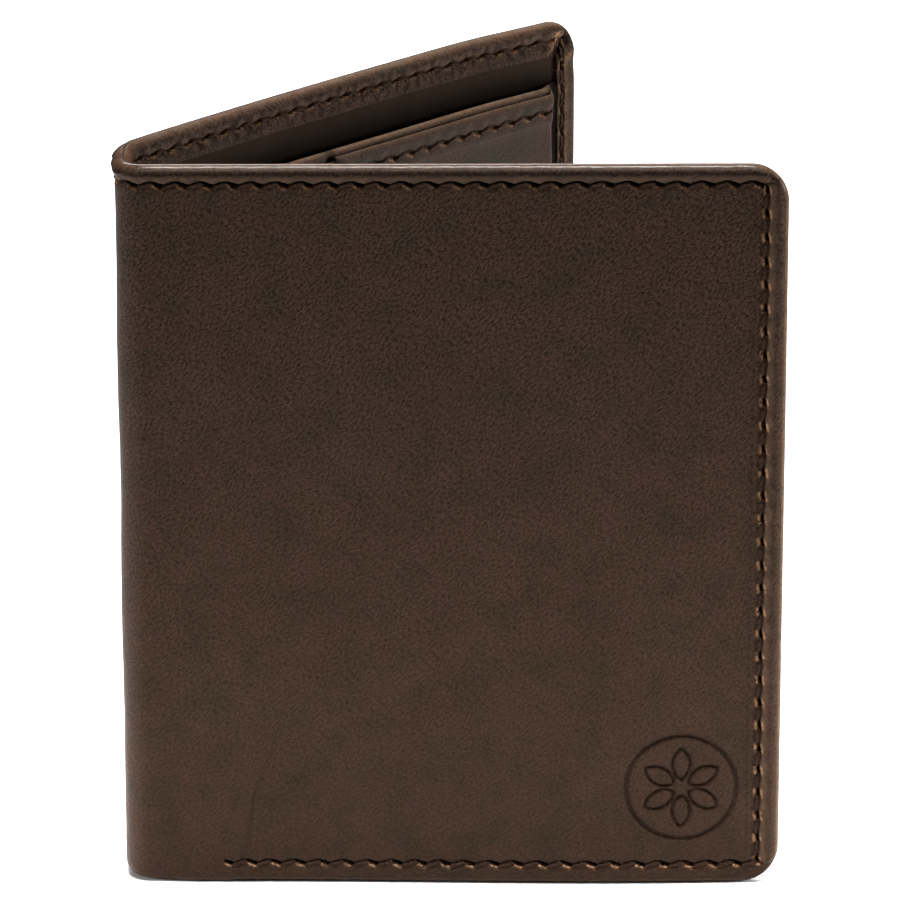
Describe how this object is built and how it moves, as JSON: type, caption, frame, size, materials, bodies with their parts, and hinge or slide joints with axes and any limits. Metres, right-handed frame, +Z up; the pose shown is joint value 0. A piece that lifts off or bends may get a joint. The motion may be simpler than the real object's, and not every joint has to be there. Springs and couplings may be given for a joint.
{
  "type": "bifold wallet",
  "caption": "Upright leather bifold wallet with turned stitched edges, a note compartment and side-opening card slots in each half, folding at two creases.",
  "frame": {"origin": "centre of the whole wallet's box at the bottom edges on which it stands, part open", "axes": "+Z up along the spine and the creases, -Y out of the front half's outer face, +X from the spine towards the front half's free edge"},
  "size_m": [0.09, 0.0738, 0.104],
  "materials": {
    "cover_leather": "dark brown smooth leather with fine grain and a satin sheen",
    "panel_leather": "dark brown smooth leather, slightly lighter at its turned edges",
    "lining_cloth": "dark brown matte lining",
    "pocket_cloth": "dark brown plain woven cloth",
    "backing_board": "pale brown bonded leather board",
    "thread": "dark brown waxed, twisted sewing thread"
  },
  "bodies": {
    "front_half": {"front_cover": "cover_leather", "front_backing": "backing_board", "front_lining": "lining_cloth", "front_divider": "panel_leather", "front_slot_rear": "panel_leather", "front_slot_middle": "panel_leather", "front_slot_front": "panel_leather", "front_pocket_rear": "pocket_cloth", "front_pocket_middle": "pocket_cloth", "front_pocket_front": "pocket_cloth", "front_top_thread": "thread", "front_side_thread": "thread", "front_bottom_thread": "thread", "front_panel_thread": "thread"},
    "spine": {"spine_cover": "cover_leather", "spine_lining": "lining_cloth", "spine_thread": "thread"},
    "back_half": {"back_cover": "cover_leather", "back_backing": "backing_board", "back_lining": "lining_cloth", "back_divider": "panel_leather", "back_slot_rear": "panel_leather", "back_slot_middle": "panel_leather", "back_slot_front": "panel_leather", "back_pocket_rear": "pocket_cloth", "back_pocket_middle": "pocket_cloth", "back_pocket_front": "pocket_cloth", "back_top_thread": "thread", "back_side_thread": "thread", "back_bottom_thread": "thread", "back_panel_thread": "thread"}
  },
  "joints": [
    {"name": "front_crease", "type": "hinge", "parent": "front_half", "child": "spine", "pos_m": [-0.0439, -0.03577, 0.052], "axis": [0, 0, 1], "range_deg": [0, 90]},
    {"name": "back_crease", "type": "hinge", "parent": "spine", "child": "back_half", "pos_m": [-0.0439, -0.02677, 0.052], "axis": [0, 0, 1], "range_deg": [-45, 45]}
  ]
}
